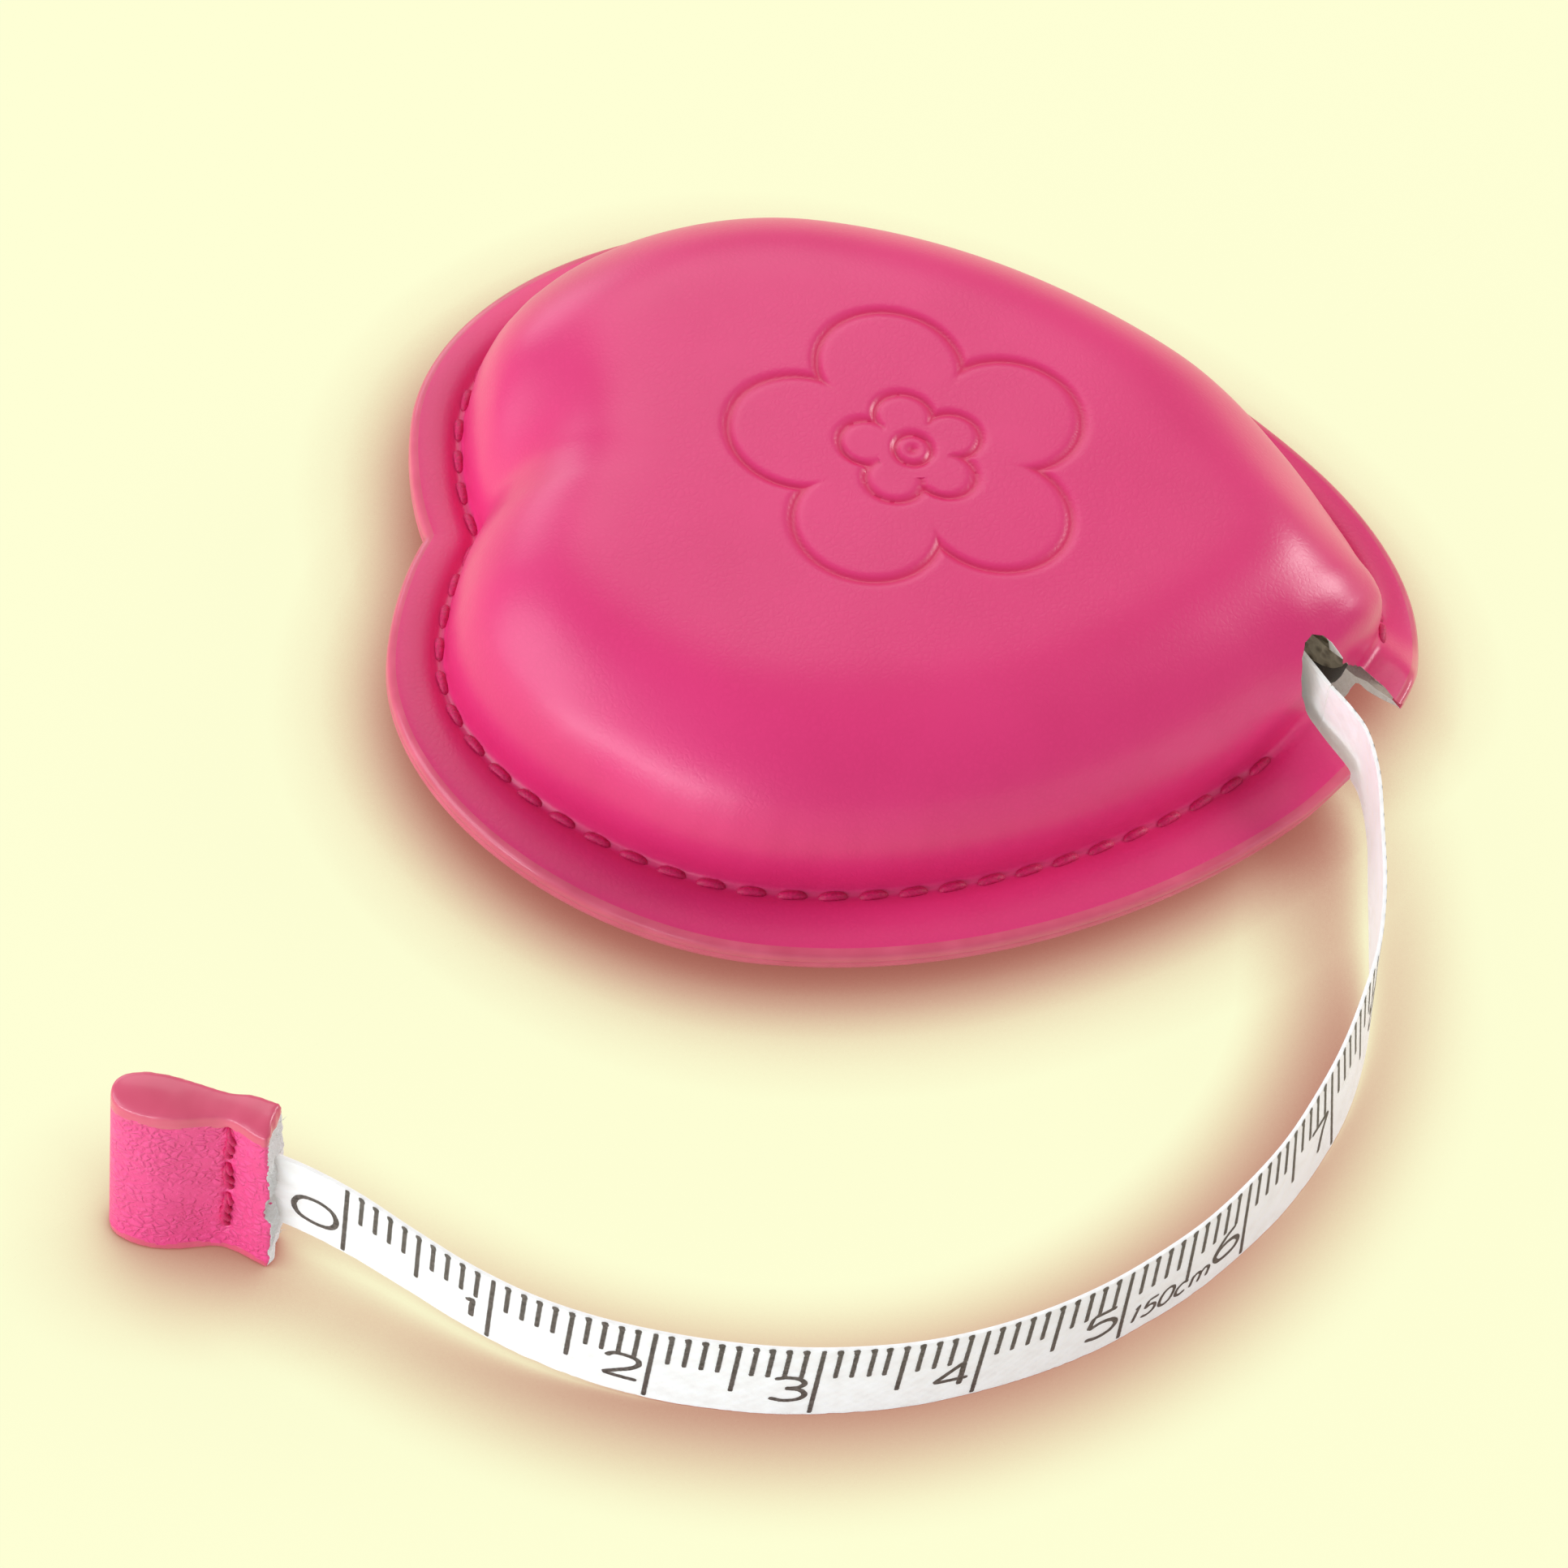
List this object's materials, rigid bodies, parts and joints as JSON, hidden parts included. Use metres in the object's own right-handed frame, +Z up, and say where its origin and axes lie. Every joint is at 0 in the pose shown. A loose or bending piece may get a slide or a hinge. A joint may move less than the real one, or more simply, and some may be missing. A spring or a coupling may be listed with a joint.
{
  "type": "retractable tape measure",
  "caption": "Heart-shaped padded leather case with a spring-return cloth tape that leaves a slit by the tip and ends in a folded leather pull tab.",
  "frame": {"origin": "under the middle of the heart-shaped body, on the face that it rests on", "axes": "+X from the notch between the lobes to the heart's tip, +Z up from the belly to the crown"},
  "size_m": [0.0812, 0.0877, 0.0165],
  "materials": {
    "pink_leather": "satin pebbled grain, puffed over foam",
    "tab_leather": "satin, painted edges",
    "seam_thread": "bonded polyester thread",
    "foam": "open-cell foam",
    "white_abs": "moulded ABS",
    "grey_acetal": "moulded acetal",
    "spring_steel": "hardened spring steel",
    "coated_tape": "vinyl-coated woven tape, satin"
  },
  "bodies": {
    "case": {"top_cover": "pink_leather", "bottom_cover": "pink_leather", "needle_thread": "seam_thread", "bobbin_thread": "seam_thread", "top_padding": "foam", "bottom_padding": "foam", "case_base": "white_abs", "case_lid": "white_abs", "power_spring": "spring_steel", "button_spring": "spring_steel"},
    "reel": {"reel_drum": "grey_acetal", "reel_flange": "grey_acetal", "spring_cover": "grey_acetal", "wound_tape": "coated_tape"},
    "button": {"release_button": "white_abs", "pawl_ring": "grey_acetal"},
    "tape": {"inner_run": "coated_tape", "free_tape": "coated_tape", "pull_tab": "tab_leather", "tab_stitch_front_1": "seam_thread", "tab_stitch_front_2": "seam_thread", "tab_stitch_front_3": "seam_thread", "tab_stitch_back_1": "seam_thread", "tab_stitch_back_2": "seam_thread", "tab_stitch_back_3": "seam_thread"}
  },
  "joints": [
    {"name": "reel_spin", "type": "hinge", "parent": "case", "child": "reel", "pos_m": [-0.003, 0, 0.007], "axis": [0, 0, -1], "range_deg": [0, 72]},
    {"name": "button_press", "type": "slide", "parent": "case", "child": "button", "axis": [0, 0, -1], "range_m": [0, 0.0015], "stiffness_N_per_m": 400, "springref_m": -0.002, "deforming": ["button_spring"]},
    {"name": "tape_pull", "type": "slide", "parent": "case", "child": "tape", "axis": [0.6, -0.8, 0], "range_m": [0, 0.024]}
  ],
  "couplings": [
    {"joint": "tape_pull", "follows": "reel_spin", "m_per_rad": 0.019}
  ]
}
